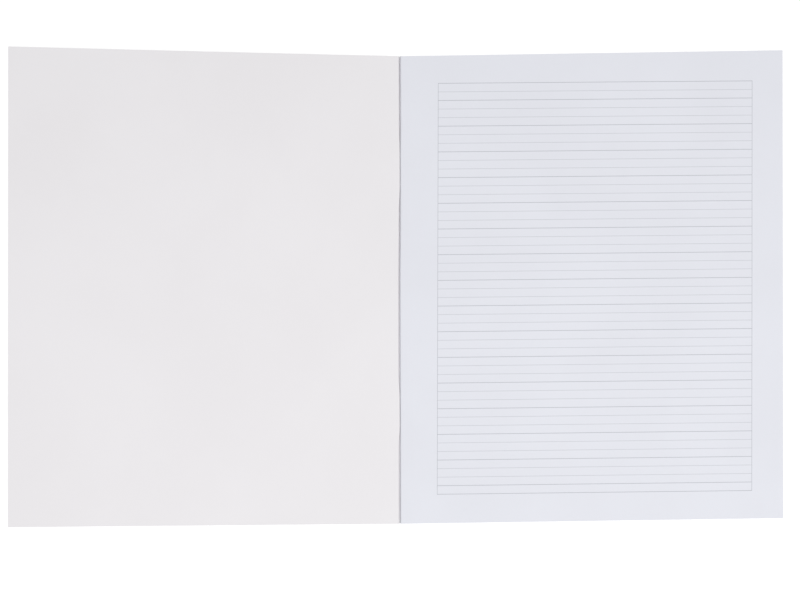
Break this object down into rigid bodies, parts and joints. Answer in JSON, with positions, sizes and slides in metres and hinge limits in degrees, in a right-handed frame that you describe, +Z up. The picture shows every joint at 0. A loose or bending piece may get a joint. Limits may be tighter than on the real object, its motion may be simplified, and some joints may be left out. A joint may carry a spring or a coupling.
{
  "type": "open composition notebook",
  "caption": "Slim stapled notebook lying open at its first ruled page, with a plain card cover hinged at its creases.",
  "frame": {"origin": "on the table, under the middle of the folded edge of the leaves", "axes": "+X from the spine to the fore edge of the leaves, +Y to the head of the pages, +Z up"},
  "size_m": [0.3527, 0.2181, 0.024],
  "materials": {
    "cover_card": "smooth matt card",
    "page_paper": "uncoated paper",
    "staple_wire": "bright galvanised wire"
  },
  "bodies": {
    "leaves": {"page_block": "page_paper", "spine_strip": "cover_card", "upper_staple": "staple_wire", "lower_staple": "staple_wire"},
    "front_board": {"front_cover": "cover_card"},
    "back_board": {"back_cover": "cover_card"}
  },
  "joints": [
    {"name": "front_cover_crease", "type": "hinge", "parent": "leaves", "child": "front_board", "pos_m": [-0.0007, 0, 0.00213], "axis": [0, 1, 0], "range_deg": [-6.17, 172.9]},
    {"name": "back_cover_crease", "type": "hinge", "parent": "leaves", "child": "back_board", "pos_m": [-0.0007, 0, 0.0003], "axis": [0, 1, 0], "range_deg": [0, 180]}
  ]
}
